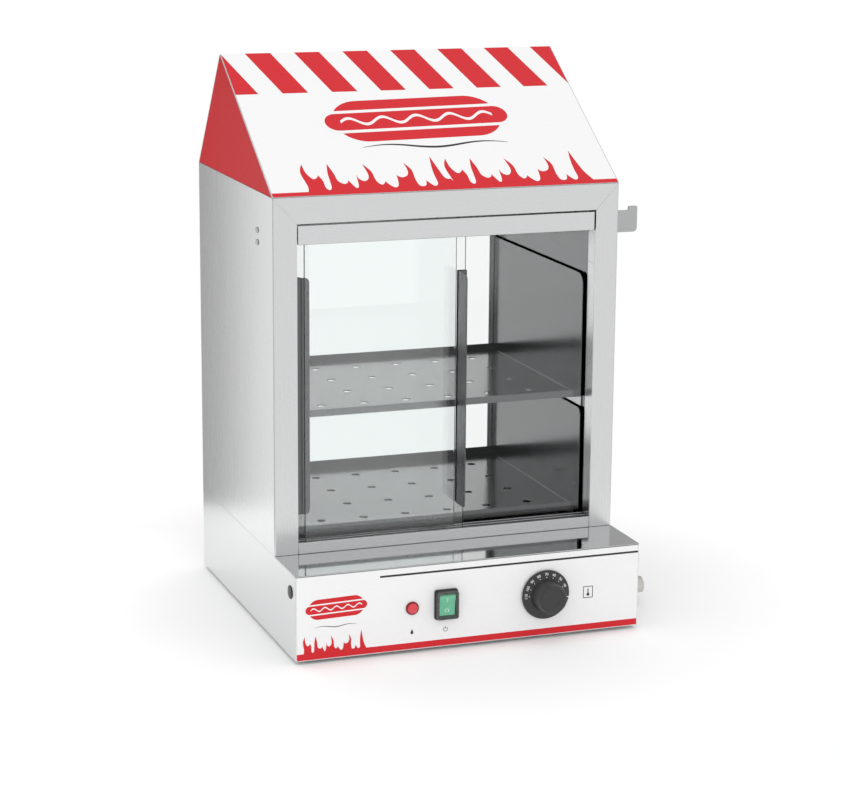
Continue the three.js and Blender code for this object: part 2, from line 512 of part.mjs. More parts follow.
// Cable gland, drain cock, utensil hook, screws and the plug in the spare hole.
function addFittings() {
  const gland = [[4.2, -8], [8, -8], [8, 0.3], [11, 0.3], [11, 8], [9.4, 10], [7.6, GLAND_REACH],
    [4.2, GLAND_REACH], [4.2, -8]];
  add('cable_gland', turned(gland, 24).translate(GLAND_X, DEPTH, GLAND_Z), 'blackPlastic');

  const right = WIDTH - TANK_X;
  add('drain_cock_body', join(
    rodX(6.9, right - 2, WIDTH + 40, DRAIN_Y, DRAIN_Z),
    rodX(11, right + GAP, right + 6, DRAIN_Y, DRAIN_Z, 6),
    rodX(12, WIDTH + GAP, WIDTH + 6, DRAIN_Y, DRAIN_Z, 6),
    rodX(10.5, WIDTH + 8, WIDTH + 26, DRAIN_Y, DRAIN_Z),
    rodX(9.5, WIDTH + 38, WIDTH + DRAIN_REACH, DRAIN_Y, DRAIN_Z),
    rodZ(4.5, DRAIN_Z, 33, DRAIN_LEVER_X, DRAIN_Y)), 'brass');
  const leverOutline = roundedRectangle(DRAIN_LEVER_X - 6, DRAIN_LEVER_X + 6, DRAIN_Y - 7, DRAIN_Y + 42,
    [5, 5, 5, 5]);
  add('drain_handle', extrude(leverOutline, 4).translate(0, 0, 33 + GAP), 'redPaint');

  const wall = WIDTH + GAP;
  const end = WIDTH + HOOK_REACH;
  const top = HOOK_BOTTOM + HOOK_HEIGHT;
  const arm = roundedRectangle(wall, end, HOOK_BOTTOM, top, [0, 5, 0, 0]);
  const tip = roundedRectangle(end - 11.4, end, HOOK_BOTTOM + 10, top + 4.5, [0, 0, 2, 2]);
  const foot = box(wall, wall + HOOK_SHEET, HOOK_Y, HOOK_Y + 17, HOOK_BOTTOM, top);
  const holes = SCREW_HEIGHTS.map((z) => rodX(2.2, wall - 1, wall + 4, SCREW_Y, z, 12));
  const bent = [arm, tip].map((outline) => alongY(outline, HOOK_Y, HOOK_Y + HOOK_SHEET));
  add('hook_bracket', cut(join(...bent, foot), ...holes), 'satinSteel');

  // A screw's head stands out along its direction from x, and its shank goes the other way.
  const screw = (x, z, direction) => {
    const [headStart, headEnd] = [x, x + direction * SCREW_HEAD].sort((a, b) => a - b);
    const [shankStart, shankEnd] = [x, x - direction * 7].sort((a, b) => a - b);
    const head = rodX(SCREW_HEAD_RADIUS, headStart, headEnd, SCREW_Y, z, 14);
    return join(head, rodX(1.8, shankStart, shankEnd, SCREW_Y, z, 10));
  };
  SCREW_HEIGHTS.forEach((z, index) => {
    add(`hook_screw_${index + 1}`, screw(wall + HOOK_SHEET + GAP, z, 1), 'satinSteel');
    add(`side_screw_${index + 1}`, screw(-GAP, z, -1), 'satinSteel');
  });
  add('hole_plug', join(rodX(7.5, -GAP - 1.4, -GAP, PLUG_Y, PLUG_Z), rodX(5.6, -1, 5, PLUG_Y, PLUG_Z)),
    'blackPlastic');
}

addBase();
addCabinet();
addHood();
addTracks();
addDoors();
addChamber();
addTank();
addControls();
addFittings();

const part = new THREE.Group();
part.add(steamer);

export default part;
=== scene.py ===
"""The looks of a counter-top hot dog steamer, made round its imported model. Metres, +Z up, front to -Y."""
import math

import bpy
from mathutils import Matrix, Vector


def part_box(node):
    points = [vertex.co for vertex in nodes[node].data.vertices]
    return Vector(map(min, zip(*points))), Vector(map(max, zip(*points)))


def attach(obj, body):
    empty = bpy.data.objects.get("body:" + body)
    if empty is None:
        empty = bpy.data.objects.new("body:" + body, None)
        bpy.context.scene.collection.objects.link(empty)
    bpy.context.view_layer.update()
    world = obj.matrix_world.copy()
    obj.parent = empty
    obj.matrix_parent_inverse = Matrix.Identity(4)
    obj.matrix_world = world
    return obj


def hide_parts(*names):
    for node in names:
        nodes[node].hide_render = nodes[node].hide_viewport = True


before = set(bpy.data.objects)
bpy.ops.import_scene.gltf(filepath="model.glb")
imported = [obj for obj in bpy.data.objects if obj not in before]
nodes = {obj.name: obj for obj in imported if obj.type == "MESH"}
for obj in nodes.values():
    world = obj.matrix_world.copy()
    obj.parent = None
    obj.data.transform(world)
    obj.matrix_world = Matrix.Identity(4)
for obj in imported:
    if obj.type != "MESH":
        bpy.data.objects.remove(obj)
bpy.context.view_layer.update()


# ---- Studio -------------------------------------------------------------------------------------
# A pale round floor with a painted glow that rises towards its rim, in a white surround. What shines in the
# steel is a surround that is dimmer behind the steamer than in front of it, and a soft card by the left wall.
scene = bpy.context.scene
scene.view_settings.view_transform = "Standard"

LENS = 104.68
CAMERA_PLACE = (-0.94343, -2.57361, 0.87508)
CAMERA_TURNS = (19.849, 13.1, 0.423)
camera_data = bpy.data.cameras.new("camera")
camera_data.lens = LENS
camera = bpy.data.objects.new("camera", camera_data)
scene.collection.objects.link(camera)
heading, dip, roll = (math.radians(angle) for angle in CAMERA_TURNS)
camera.matrix_world = (
    Matrix.Translation(CAMERA_PLACE)
    @ Matrix.Rotation(-heading, 4, "Z")
    @ Matrix.Rotation(math.radians(90) - dip, 4, "X")
    @ Matrix.Rotation(roll, 4, "Z")
)
scene.camera = camera

BRIGHT_SIDE = (0.25, -0.85, 0.45)
FACING_SPAN = (-0.8, 0.7)
MIRRORED_SPAN = (0.4, 0.86)
surround = bpy.data.worlds.new("surround")
scene.world = surround
surround.use_nodes = True
sky = surround.node_tree
direction = sky.nodes.new("ShaderNodeTexCoord")
facing = sky.nodes.new("ShaderNodeVectorMath")
facing.operation = "DOT_PRODUCT"
facing.inputs[1].default_value = BRIGHT_SIDE
dimming = sky.nodes.new("ShaderNodeMapRange")
dimming.inputs["From Min"].default_value, dimming.inputs["From Max"].default_value = FACING_SPAN
dimming.inputs["To Min"].default_value, dimming.inputs["To Max"].default_value = MIRRORED_SPAN
ray = sky.nodes.new("ShaderNodeLightPath")
mirrored = sky.nodes.new("ShaderNodeMath")
mirrored.operation = "MULTIPLY"
level = sky.nodes.new("ShaderNodeMix")
level.inputs["A"].default_value = 1.0
sky.links.new(direction.outputs["Generated"], facing.inputs[0])
sky.links.new(facing.outputs["Value"], dimming.inputs["Value"])
sky.links.new(ray.outputs["Is Glossy Ray"], mirrored.inputs[0])
sky.links.new(ray.outputs["Is Reflection Ray"], mirrored.inputs[1])
sky.links.new(mirrored.outputs["Value"], level.inputs["Factor"])
sky.links.new(dimming.outputs["Result"], level.inputs["B"])
sky.links.new(level.outputs["Result"], sky.nodes["Background"].inputs["Strength"])
sky.nodes["Background"].inputs["Color"].default_value = (1, 1, 1, 1)


def soft_light(name, spot, aim, size, power, glossy=False):
    """A square soft light aimed at a point. It isn't seen itself, except in the steel when glossy."""
    lamp = bpy.data.lights.new(name, "AREA")
    lamp.size = size
    lamp.energy = power
    light = bpy.data.objects.new(name, lamp)
    light.location = spot
    light.rotation_euler = (Vector(aim) - Vector(spot)).to_track_quat("-Z", "Y").to_euler()
    light.visible_camera = False
    light.visible_glossy = glossy
    scene.collection.objects.link(light)


soft_light("key", (-0.7, -1.9, 1.4), (0, 0, 0.2), 1.2, 4)
soft_light("overhead", (0.1, 0.3, 2.4), (0, 0.1, 0), 2.4, 3)
soft_light("card", (-0.65, 0.38, 0.26), (-0.65, -1, 0.26), 0.62, 0.8, glossy=True)


def plain(name, colour, roughness, metallic=0.0):
    """A material of one even colour and gloss, and its shader."""
    material = bpy.data.materials.new(name)
    material.use_nodes = True
    shader = material.node_tree.nodes["Principled BSDF"]
    shader.inputs["Base Color"].default_value = (*colour, 1)
    shader.inputs["Roughness"].default_value = roughness
    shader.inputs["Metallic"].default_value = metallic
    return material, shader


FLOOR_RADIUS = 0.55
RIM_WIDTH = 0.25
RIM_GLOW = 0.07
bpy.ops.object.select_all(action="DESELECT")
bpy.ops.mesh.primitive_circle_add(vertices=128, radius=FLOOR_RADIUS, fill_type="NGON")
floor = bpy.context.object
floor.name = "floor"
floor_paper, paper = plain("floor_paper", (0.99, 0.99, 0.99), 0.9)
paper_tree = floor_paper.node_tree
floor_point = paper_tree.nodes.new("ShaderNodeTexCoord")
distance = paper_tree.nodes.new("ShaderNodeVectorMath")
distance.operation = "LENGTH"
# Painted glow: the paper's emission rises from nothing to RIM_GLOW over its outer band.
glow = paper_tree.nodes.new("ShaderNodeMapRange")
glow.inputs["From Min"].default_value = FLOOR_RADIUS - RIM_WIDTH
glow.inputs["From Max"].default_value = FLOOR_RADIUS
glow.inputs["To Max"].default_value = RIM_GLOW
paper_tree.links.new(floor_point.outputs["Object"], distance.inputs[0])
paper_tree.links.new(distance.outputs["Value"], glow.inputs["Value"])
paper_tree.links.new(glow.outputs["Result"], paper.inputs["Emission Strength"])
floor.data.materials.append(floor_paper)


# ---- Sheet steel --------------------------------------------------------------------------------
# Stainless sheet with a fine brushed grain. The grain is a noise drawn out along the sheet, which
# tints the steel, roughens it and stands a few thousandths of a millimetre proud.
NOISE_SPAN = (0.3, 0.7)
GLOSS_SPREAD = 0.15
RELIEF_DEPTH = 0.0001


def grained(name, colour, roughness, grain, spread=0.04, relief=0.1, metallic=1.0, **sockets):
    """A finish whose tint, gloss and relief follow one noise, stretched by grain, in lines per metre."""
    material, shader = plain(name, colour, roughness, metallic)
    tree = material.node_tree
    point = tree.nodes.new("ShaderNodeTexCoord")
    stretch = tree.nodes.new("ShaderNodeMapping")
    stretch.inputs["Scale"].default_value = grain
    noise = tree.nodes.new("ShaderNodeTexNoise")
    noise.inputs["Scale"].default_value = 1.0
    noise.inputs["Detail"].default_value = 5.0
    tint = tree.nodes.new("ShaderNodeValToRGB")
    for stop, position, share in zip(tint.color_ramp.elements, NOISE_SPAN, (1 - spread, 1 + spread)):
        stop.position = position
        stop.color = (*(min(1.0, part * share) for part in colour), 1)
    gloss = tree.nodes.new("ShaderNodeMapRange")
    gloss.inputs["From Min"].default_value, gloss.inputs["From Max"].default_value = NOISE_SPAN
    gloss.inputs["To Min"].default_value = roughness * (1 - GLOSS_SPREAD)
    gloss.inputs["To Max"].default_value = roughness * (1 + GLOSS_SPREAD)
    bump = tree.nodes.new("ShaderNodeBump")
    bump.inputs["Strength"].default_value = relief
    bump.inputs["Distance"].default_value = RELIEF_DEPTH
    tree.links.new(point.outputs["Object"], stretch.inputs["Vector"])
    tree.links.new(stretch.outputs["Vector"], noise.inputs["Vector"])
    tree.links.new(noise.outputs["Fac"], tint.inputs["Fac"])
    tree.links.new(tint.outputs["Color"], shader.inputs["Base Color"])
    tree.links.new(noise.outputs["Fac"], gloss.inputs["Value"])
    tree.links.new(gloss.outputs["Result"], shader.inputs["Roughness"])
    tree.links.new(noise.outputs["Fac"], bump.inputs["Height"])
    tree.links.new(bump.outputs["Normal"], shader.inputs["Normal"])
    for socket, value in sockets.items():
        shader.inputs[socket.replace("_", " ")].default_value = value
    return material


STEEL = (0.74, 0.745, 0.75)
upright_steel = grained("upright_brushed_steel", STEEL, 0.27, (1800, 1800, 9), spread=0.012, relief=0.025)
level_steel = grained("level_brushed_steel", STEEL, 0.27, (9, 1800, 1800), spread=0.012, relief=0.025)
plain_steel = grained("plain_steel", (0.62, 0.625, 0.63), 0.34, (60, 60, 60), relief=0.04)


def dress(piece, body, material, slot, *stands_for):
    """Gives a finished piece its material and body, and hides the CAD nodes that it stands for. Its slot is
    not used.
    """
    piece.data.materials.clear()
    piece.data.materials.append(material)
    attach(piece, body)
    if stands_for:
        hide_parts(*stands_for)


def take(piece):
    """Makes a piece the only one selected, and the active one."""
    bpy.ops.object.select_all(action="DESELECT")
    piece.select_set(True)
    bpy.context.view_layer.objects.active = piece


def settle(piece):
    """Puts a piece's place, turn and size into its mesh."""
    take(piece)
    bpy.ops.object.transform_apply(location=True, rotation=True, scale=True)
    return piece


def block(name, low, high):
    """A block between two corners."""
    low, high = Vector(low), Vector(high)
    bpy.ops.object.select_all(action="DESELECT")
    bpy.ops.mesh.primitive_cube_add(size=1, location=(low + high) / 2)
    piece = bpy.context.object
    piece.name = name
    piece.scale = high - low
    return settle(piece)


def finish_with(piece, kind, **settings):
    """Adds one modifier to a piece and applies it."""
    take(piece)
    modifier = piece.modifiers.new(kind.lower(), kind)
    for setting, value in settings.items():
        setattr(modifier, setting, value)
    bpy.ops.object.modifier_apply(modifier=modifier.name)
    return piece


def ease(piece, width, steps=2, angle=40):
    """Rounds a piece's sharp edges, and shades it smooth across them with its flats kept flat."""
    finish_with(piece, "BEVEL", width=width, segments=steps, angle_limit=math.radians(angle))
    bpy.ops.object.shade_smooth_by_angle(angle=math.radians(angle))
    return finish_with(piece, "WEIGHTED_NORMAL", keep_sharp=True)


SAME_POINT = 0.00001


def face_out(piece):
    """Merges a closed piece's doubled points and turns its faces outwards."""
    take(piece)
    bpy.ops.object.mode_set(mode="EDIT")
    bpy.ops.mesh.select_all(action="SELECT")
    bpy.ops.mesh.remove_doubles(threshold=SAME_POINT)
    bpy.ops.mesh.normals_make_consistent(inside=False)
    bpy.ops.object.mode_set(mode="OBJECT")
    return piece


def combine(piece, tool, operation="DIFFERENCE"):
    """Cuts a tool out of a piece, or welds it on, and takes the tool away."""
    finish_with(piece, "BOOLEAN", operation=operation, solver="EXACT", object=tool)
    bpy.data.objects.remove(tool)


def folded(name, corners, push, side, thickness=0.0012, bend=0.002):
    """A sheet folded at the inner corners of a path and pushed out along one direction.

    Its thickness grows from the path to one side: side is that direction at the path's start.
    """
    corners = [Vector(corner) for corner in corners]
    bpy.ops.object.select_all(action="DESELECT")
    bpy.ops.mesh.primitive_plane_add(size=0.001, location=corners[0])
    piece = bpy.context.object
    piece.name = name
    bpy.ops.object.mode_set(mode="EDIT")
    bpy.ops.mesh.merge(type="CENTER")
    for start, end in zip(corners, corners[1:]):
        bpy.ops.mesh.extrude_region_move(TRANSFORM_OT_translate={"value": end - start})
    bpy.ops.object.mode_set(mode="OBJECT")
    settle(piece)
    for vertex in piece.data.vertices:
        vertex.select = min((vertex.co - end).length for end in (corners[0], corners[-1])) > SAME_POINT
    bpy.ops.object.mode_set(mode="EDIT")
    bpy.ops.mesh.bevel(offset=bend, offset_type="OFFSET", segments=5, affect="VERTICES")
    bpy.ops.mesh.select_all(action="SELECT")
    bpy.ops.mesh.extrude_region_move(TRANSFORM_OT_translate={"value": Vector(push)})
    bpy.ops.mesh.select_all(action="SELECT")
    bpy.ops.mesh.normals_make_consistent(inside=False)
    bpy.ops.object.mode_set(mode="OBJECT")
    nearest = min(piece.data.polygons, key=lambda face: (face.center - corners[0] - Vector(push) / 2).length)
    along = 1 if nearest.normal.dot(Vector(side)) > 0 else -1
    finish_with(piece, "SOLIDIFY", thickness=thickness, offset=along, use_even_offset=True)
    return face_out(piece)


# ---- Cabinet walls ------------------------------------------------------------------------------
# Each wall is one sheet of 1.2 mm brushed stainless steel: the side, folded round the front corner
# into the stile. The top rail meets both stiles in a ground mitre.
SHEET = 0.0012
(LEFT, FRONT, WALL_BOTTOM), (RIGHT, _, WALL_TOP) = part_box("front_frame")
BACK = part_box("cabinet_side_left")[1].y
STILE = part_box("jamb_strip_left")[1].x - LEFT
RAIL_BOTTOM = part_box("upper_door_track")[1].z + 0.0003
RETURN = 0.0185
MITRE_GAP = 0.00015


def wall(name, outer_x, inward):
    """A side wall with its stile, on the left with inward = 1 and on the right with inward = -1."""
    stile_edge = outer_x + inward * STILE
    corners = [(outer_x, BACK, WALL_BOTTOM), (outer_x, FRONT, WALL_BOTTOM), (stile_edge, FRONT, WALL_BOTTOM)]
    piece = folded(name, corners, (0, 0, WALL_TOP - WALL_BOTTOM), (inward, 0, 0))
    wedge = block("mitre_tool", (min(outer_x, stile_edge) - 0.004, FRONT - 0.001, RAIL_BOTTOM - 0.1),
                  (max(outer_x, stile_edge) + 0.004, FRONT + SHEET + 0.0002, WALL_TOP + 0.01))
    tilt = (WALL_TOP - RAIL_BOTTOM) / STILE
    for vertex in wedge.data.vertices:
        if vertex.co.z < RAIL_BOTTOM:
            vertex.co.z = WALL_TOP - MITRE_GAP - tilt * (vertex.co.x - outer_x) * inward
    combine(piece, wedge)
    return ease(piece, 0.0002, 1)


dress(wall("cabinet_wall_left", LEFT, 1), "cabinet", upright_steel, "satin_steel", "cabinet_side_left",
      "front_frame")
dress(wall("cabinet_wall_right", RIGHT, -1), "cabinet", upright_steel, "satin_steel", "cabinet_side_right")

rail_path = [(LEFT, FRONT, WALL_TOP), (LEFT, FRONT, RAIL_BOTTOM), (LEFT, FRONT + RETURN, RAIL_BOTTOM)]
rail = folded("top_rail", rail_path, (RIGHT - LEFT, 0, 0), (0, 1, 0), bend=0.001)
for vertex in rail.data.vertices:
    height = max(0.0, min(1.0, (vertex.co.z - RAIL_BOTTOM) / (WALL_TOP - RAIL_BOTTOM)))
    reach = STILE * (1 - height)
    vertex.co.x = max(LEFT + reach, min(RIGHT - reach, vertex.co.x))
dress(ease(rail, 0.0002, 1), "cabinet", level_steel, "satin_steel")


# ---- Plain sheet parts of the cabinet and base --------------------------------------------------
# The flat and once-folded parts keep the imported shape. Their laser-cut edges are deburred, so each is
# copied, its flats are made whole and its edges rounded. The liners are polished.
def eased_copy(node, name, width=0.00025):
    """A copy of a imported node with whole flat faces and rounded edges."""
    piece = bpy.data.objects.new(name, nodes[node].data.copy())
    scene.collection.objects.link(piece)
    face_out(piece)
    bpy.ops.mesh.customdata_custom_splitnormals_clear()
    bpy.ops.object.mode_set(mode="EDIT")
    bpy.ops.mesh.dissolve_limited(angle_limit=math.radians(1))
    bpy.ops.object.mode_set(mode="OBJECT")
    return ease(piece, width, 1)


polished_steel = grained("polished_steel", (0.2, 0.202, 0.205), 0.13, (40, 14, 500), spread=0.03, relief=0.03)
for node, name, metal, slot in (
    ("base_side_left", "base_wall_left", level_steel, "satin_steel"),
    ("base_side_right", "base_wall_right", level_steel, "satin_steel"),
    ("base_back_panel", "base_back_sheet", level_steel, "satin_steel"),
    ("base_bottom_plate", "base_floor_sheet", plain_steel, "satin_steel"),
    ("rear_frame", "rear_frame_sheet", level_steel, "satin_steel"),
    ("ceiling_plate", "ceiling_sheet", plain_steel, "satin_steel"),
    ("liner_left", "inner_wall_left", polished_steel, "polished_steel"),
    ("liner_right", "inner_wall_right", polished_steel, "polished_steel"),
    ("jamb_strip_left", "doorway_strip_left", upright_steel, "satin_steel"),
    ("jamb_strip_right", "doorway_strip_right", upright_steel, "satin_steel"),
    ("rear_glass_strip_left", "rear_pane_strip_left", upright_steel, "satin_steel"),
    ("rear_glass_strip_right", "rear_pane_strip_right", upright_steel, "satin_steel"),
    ("bun_rail_left", "bun_box_rail_left", plain_steel, "satin_steel"),
    ("bun_rail_right", "bun_box_rail_right", plain_steel, "satin_steel"),
    ("steam_plate", "slotted_steam_plate", plain_steel, "satin_steel"),
    ("water_tank", "water_bath_tank", plain_steel, "satin_steel"),
    ("lower_door_track", "door_sill", level_steel, "satin_steel"),
):
    dress(eased_copy(node, name), "cabinet", metal, slot, node)


# ---- Upper door track ---------------------------------------------------------------------------
# One sheet folded back and forth into two deep channels, which the panes hang up into, with a dark gap
# round it. A short strip lines the doorway between each jamb strip and the track.
(TRACK_LEFT, TRACK_FRONT, TRACK_LIP), (TRACK_RIGHT, TRACK_BACK, track_top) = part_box("upper_door_track")
CHANNEL = 0.006
CHANNEL_PLAY = 0.001
TRACK_WEB = track_top - 0.0032
track_path = [(TRACK_FRONT, track_top - 0.0016), (TRACK_FRONT, TRACK_LIP)]
for pane in ("right_door_glass", "left_door_glass"):
    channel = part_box(pane)[0].y - CHANNEL_PLAY
    track_path += [(channel, TRACK_LIP), (channel, TRACK_WEB), (channel + CHANNEL, TRACK_WEB),
                   (channel + CHANNEL, TRACK_LIP)]
track_path += [(TRACK_BACK, TRACK_LIP), (TRACK_BACK, TRACK_WEB)]
track = folded("door_track", [(TRACK_LEFT, y, z) for y, z in track_path], (TRACK_RIGHT - TRACK_LEFT, 0, 0),
               (0, 1, 0), thickness=0.0005, bend=0.0006)
dress(ease(track, 0.0001, 1), "cabinet", level_steel, "satin_steel", "upper_door_track")

for side in ("left", "right"):
    low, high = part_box(f"jamb_strip_{side}")
    upper_strip = block(f"upper_strip_{side}", (low.x, low.y, high.z), (high.x, high.y, TRACK_LIP - 0.0003))
    dress(ease(upper_strip, 0.0002, 1), "cabinet", upright_steel, "satin_steel")


# ---- Glass panes --------------------------------------------------------------------------------
# Three panes of 4 mm toughened float glass with ground edges: two sliding doors and a fixed rear
# window. Float glass is faintly green, and a wiped pane carries a trace of smear.
glass = grained("float_glass", (0.965, 0.985, 0.98), 0.004, (6, 6, 2.5), spread=0.006, relief=0.0,
                metallic=0.0, Transmission_Weight=1.0, IOR=1.5)
for node, name, body in (
    ("left_door_glass", "left_door_pane", "left_door"),
    ("right_door_glass", "right_door_pane", "right_door"),
    ("rear_glass", "rear_window_pane", "cabinet"),
):
    dress(ease(block(name, *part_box(node)), 0.0007, 2), body, glass, "clear_glass", node)


# ---- Door grips ---------------------------------------------------------------------------------
# Long strips of 1.2 mm satin steel folded round the outer edge of each pane. The left one is a plain
# channel that passes behind the right pane; the right one has a wing at the front for the fingers.
def round_off(piece, radius, chosen, steps=6):
    """Rounds off the edges whose middle and direction pass a test."""
    take(piece)
    bpy.context.tool_settings.mesh_select_mode = (False, True, False)
    points = piece.data.vertices
    for part in (*points, *piece.data.polygons):
        part.select = False
    for edge in piece.data.edges:
        start, end = (points[index].co for index in edge.vertices)
        edge.select = chosen((start + end) / 2, (end - start).normalized())
    bpy.ops.object.mode_set(mode="EDIT")
    bpy.ops.mesh.bevel(offset=radius, segments=steps)
    bpy.context.tool_settings.mesh_select_mode = (True, False, False)
    bpy.ops.object.mode_set(mode="OBJECT")
    return piece


grip_steel = grained("grip_steel", (0.15, 0.153, 0.156), 0.24, (700, 700, 9), spread=0.03)
GRIP_CORNER = 0.005
(grip_left, grip_front, GRIP_BOTTOM), (grip_right, grip_back, GRIP_TOP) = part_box("left_door_grip")
REAR_LEG_SHORTER = 0.0055
grip_path = [(grip_right, grip_front), (grip_left, grip_front), (grip_left, grip_back),
             (grip_right - REAR_LEG_SHORTER, grip_back)]
left_grip = folded("left_door_channel", [(x, y, GRIP_BOTTOM) for x, y in grip_path],
                   (0, 0, GRIP_TOP - GRIP_BOTTOM), (0, 1, 0), bend=0.0018)
round_off(left_grip, GRIP_CORNER, lambda middle, way: abs(way.y) > 0.99 and middle.x > grip_left + 0.01)
dress(ease(left_grip, 0.0003, 2), "left_door", grip_steel, "grip_steel", "left_door_grip")

WING_CORNER = 0.007
PANE_PLAY = 0.0003
(wing_x, wing_front, _), (wing_right, wing_back, _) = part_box("right_door_grip")
pane_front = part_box("right_door_glass")[0].y - PANE_PLAY
wing_path = [(wing_x, wing_front), (wing_x, pane_front), (wing_right - SHEET, pane_front),
             (wing_right - SHEET, wing_back - SHEET), (wing_x, wing_back - SHEET)]
right_grip = folded("right_door_wing", [(x, y, GRIP_BOTTOM) for x, y in wing_path],
                    (0, 0, GRIP_TOP - GRIP_BOTTOM), (1, 0, 0), bend=0.0014)
round_off(right_grip, WING_CORNER, lambda middle, way: abs(way.x) > 0.99 and middle.y < wing_front + 0.001)
dress(ease(right_grip, 0.0003, 2), "right_door", grip_steel, "grip_steel", "right_door_grip")


# ---- Hood ---------------------------------------------------------------------------------------
# One sheet folded along the ridge over two gable plates, so its cut edge shows at both ends. The
# slopes carry white printed film that stops a millimetre short of the sheet's edges.
def trim(piece, point, normal):
    """Cuts a piece along a plane, takes away what is on the normal's side and closes the cut."""
    take(piece)
    bpy.ops.object.mode_set(mode="EDIT")
    bpy.ops.mesh.select_all(action="SELECT")
    bpy.ops.mesh.bisect(plane_co=point, plane_no=normal, clear_outer=True, use_fill=True)
    bpy.ops.object.mode_set(mode="OBJECT")
    face_out(piece)


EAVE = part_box("hood_front_panel")[0].z
RIDGE_Y, RIDGE_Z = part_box("hood_front_panel")[1].yz
WIDTH = RIGHT - LEFT
front_eave = Vector((LEFT, FRONT, EAVE))
rear_eave = Vector((LEFT, BACK, EAVE))
ridge = Vector((LEFT, RIDGE_Y, RIDGE_Z))
INWARDS = (0, 0.55, -0.84)
roof = folded("hood_sheet", [front_eave, ridge, rear_eave], (WIDTH, 0, 0), INWARDS, bend=0.0015)
trim(roof, (0, 0, EAVE), (0, 0, -1))
dress(ease(roof, 0.0002, 1), "cabinet", upright_steel, "satin_steel", "hood_front_panel", "hood_rear_panel")

FILM = 0.00025
FILM_MARGIN = 0.0011
white_film = grained("white_gloss_film", (0.86, 0.86, 0.86), 0.25, (700, 700, 700), spread=0.006, relief=0.02,
                     metallic=0.0, Specular_IOR_Level=0.3)
red_film = grained("red_gloss_film", (0.63, 0.026, 0.034), 0.3, (700, 700, 700), spread=0.012, relief=0.02,
                   metallic=0.0, Specular_IOR_Level=0.12)
black_ink = grained("black_ink", (0.012, 0.012, 0.013), 0.3, (300, 300, 300), metallic=0.0)


def slope(eave, across):
    """The place of a slope's own axes: across its width, up its length, and out of its face."""
    up = (ridge - eave).normalized()
    if across < 0:
        up_x = Vector((-1, 0, 0))
        eave = eave + Vector((WIDTH, 0, 0))
    else:
        up_x = Vector((1, 0, 0))
    return Matrix.Translation(eave) @ Matrix((up_x, up, up_x.cross(up))).transposed().to_4x4()


def place(piece, where):
    """Moves a piece that was made on a sheet's own axes to where the sheet is."""
    piece.matrix_world = where
    return settle(piece)


front_slope = slope(front_eave, 1)
rear_slope = slope(rear_eave, -1)
for name, where, eave in (
    ("hood_front_film", front_slope, front_eave), ("hood_rear_film", rear_slope, rear_eave),
):
    length = (ridge - eave).length
    film = block(name, (FILM_MARGIN, FILM_MARGIN, 0), (WIDTH - FILM_MARGIN, length - FILM_MARGIN, FILM))
    dress(place(ease(film, 0.00008, 1), where), "cabinet", white_film, "white_paint")

# The gables get a darker copy of the red film: painted shade for the ends, which face away from the light.
gable_shaded_red = grained("gable_shaded_red_film", (0.5, 0.013, 0.018), 0.4, (700, 700, 700), spread=0.012, relief=0.02,
                    metallic=0.0, Specular_IOR_Level=0.06)
for side in ("left", "right"):
    gable = eased_copy(f"hood_end_{side}", f"hood_gable_{side}")
    dress(gable, "cabinet", gable_shaded_red, "red_paint", f"hood_end_{side}")


# ---- Hood graphics ------------------------------------------------------------------------------
# Red and black ink on the white film: slanting stripes under the ridge, a plain drawing of a hot dog,
# and a row of flames on a thin band along the eave. Each colour is laid down as a flat layer.
INK = 0.00006


def arc(centre_u, centre_v, radius, start, end, steps=24):
    """Points on an arc, with its angles in degrees."""
    angles = [math.radians(start + (end - start) * step / steps) for step in range(steps + 1)]
    return [(centre_u + radius * math.cos(angle), centre_v + radius * math.sin(angle)) for angle in angles]


def capsule(middle_u, middle_v, length, height):
    """A bar with round ends."""
    radius = height / 2
    reach = length / 2 - radius
    right_end = arc(middle_u + reach, middle_v, radius, -90, 90)
    return right_end + arc(middle_u - reach, middle_v, radius, 90, 270)


def printed(name, outlines, where, layer, turn=0.0):
    """Ink on a sheet: outlines in metres on the sheet's own axes, filled, in the given layer of ink."""
    art = bpy.data.curves.new(name, "CURVE")
    art.dimensions = "2D"
    art.fill_mode = "BOTH"
    art.extrude = INK / 2
    for outline in outlines:
        spline = art.splines.new("POLY")
        spline.points.add(len(outline) - 1)
        for point, (u, v) in zip(spline.points, outline):
            point.co = (u, v, 0, 1)
        spline.use_cyclic_u = True
    piece = bpy.data.objects.new(name, art)
    scene.collection.objects.link(piece)
    take(piece)
    bpy.ops.object.convert(target="MESH")
    piece = bpy.context.object
    lift = Matrix.Translation((0, 0, FILM + INK * (layer - 0.4)))
    return face_out(place(piece, where @ lift @ Matrix.Rotation(math.radians(turn), 4, "Z")))


COLOURS = {"red": (red_film, "red_paint"), "white": (white_film, "white_paint"),
           "black": (black_ink, "black_plastic")}


def ink(name, outlines, where, colour, layer=1, turn=0.0):
    """One printed shape in its colour of ink or film, fixed to the cabinet."""
    dress(printed(name, outlines, where, layer, turn), "cabinet", *COLOURS[colour])


STRIPE_PITCH = 0.0575
STRIPE_WIDTH = 0.0295
STRIPE_LENGTH = 0.072
STRIPE_LEAN = 0.365
stripe_top = (ridge - front_eave).length - FILM_MARGIN
stripe_end = stripe_top - STRIPE_LENGTH
stripes = []
for number in range(8):
    top_left = (number - 0.5) * STRIPE_PITCH
    end_left = top_left + STRIPE_LEAN * STRIPE_LENGTH
    stripes.append([(top_left, stripe_top), (end_left, stripe_end), (end_left + STRIPE_WIDTH, stripe_end),
                    (top_left + STRIPE_WIDTH, stripe_top)])
awning = printed("hood_stripes", stripes, front_slope, 1)
trim(awning, (LEFT + FILM_MARGIN, 0, 0), (-1, 0, 0))
trim(awning, (RIGHT - FILM_MARGIN, 0, 0), (1, 0, 0))
dress(awning, "cabinet", red_film, "red_paint")


